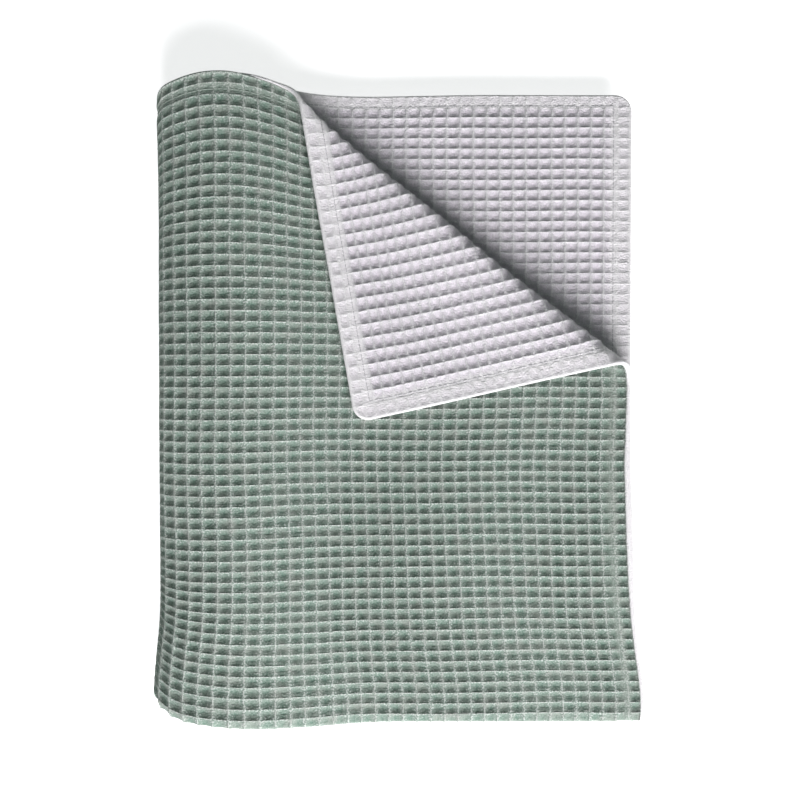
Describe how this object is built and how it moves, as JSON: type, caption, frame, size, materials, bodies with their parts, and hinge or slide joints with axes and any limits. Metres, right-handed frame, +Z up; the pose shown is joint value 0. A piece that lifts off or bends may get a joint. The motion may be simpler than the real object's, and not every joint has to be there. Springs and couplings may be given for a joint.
{
  "type": "pique blanket",
  "caption": "Sage and white waffle pique baby blanket folded in quarters, its top corner turned back to show the white lining.",
  "frame": {"origin": "centre of the bounding box's underside, on the surface that the blanket rests on", "axes": "+Z up, +X from the thick folded side to the hemmed side edges, +Y from the folded end to the open hemmed end"},
  "size_m": [0.3886, 0.5082, 0.0582],
  "materials": {
    "sage_pique": "matte sage-green waffle-weave cotton",
    "white_pique": "matte white waffle-weave cotton"
  },
  "bodies": {
    "root": {"face_cloth": "sage_pique", "lining_cloth": "white_pique"}
  },
  "joints": []
}
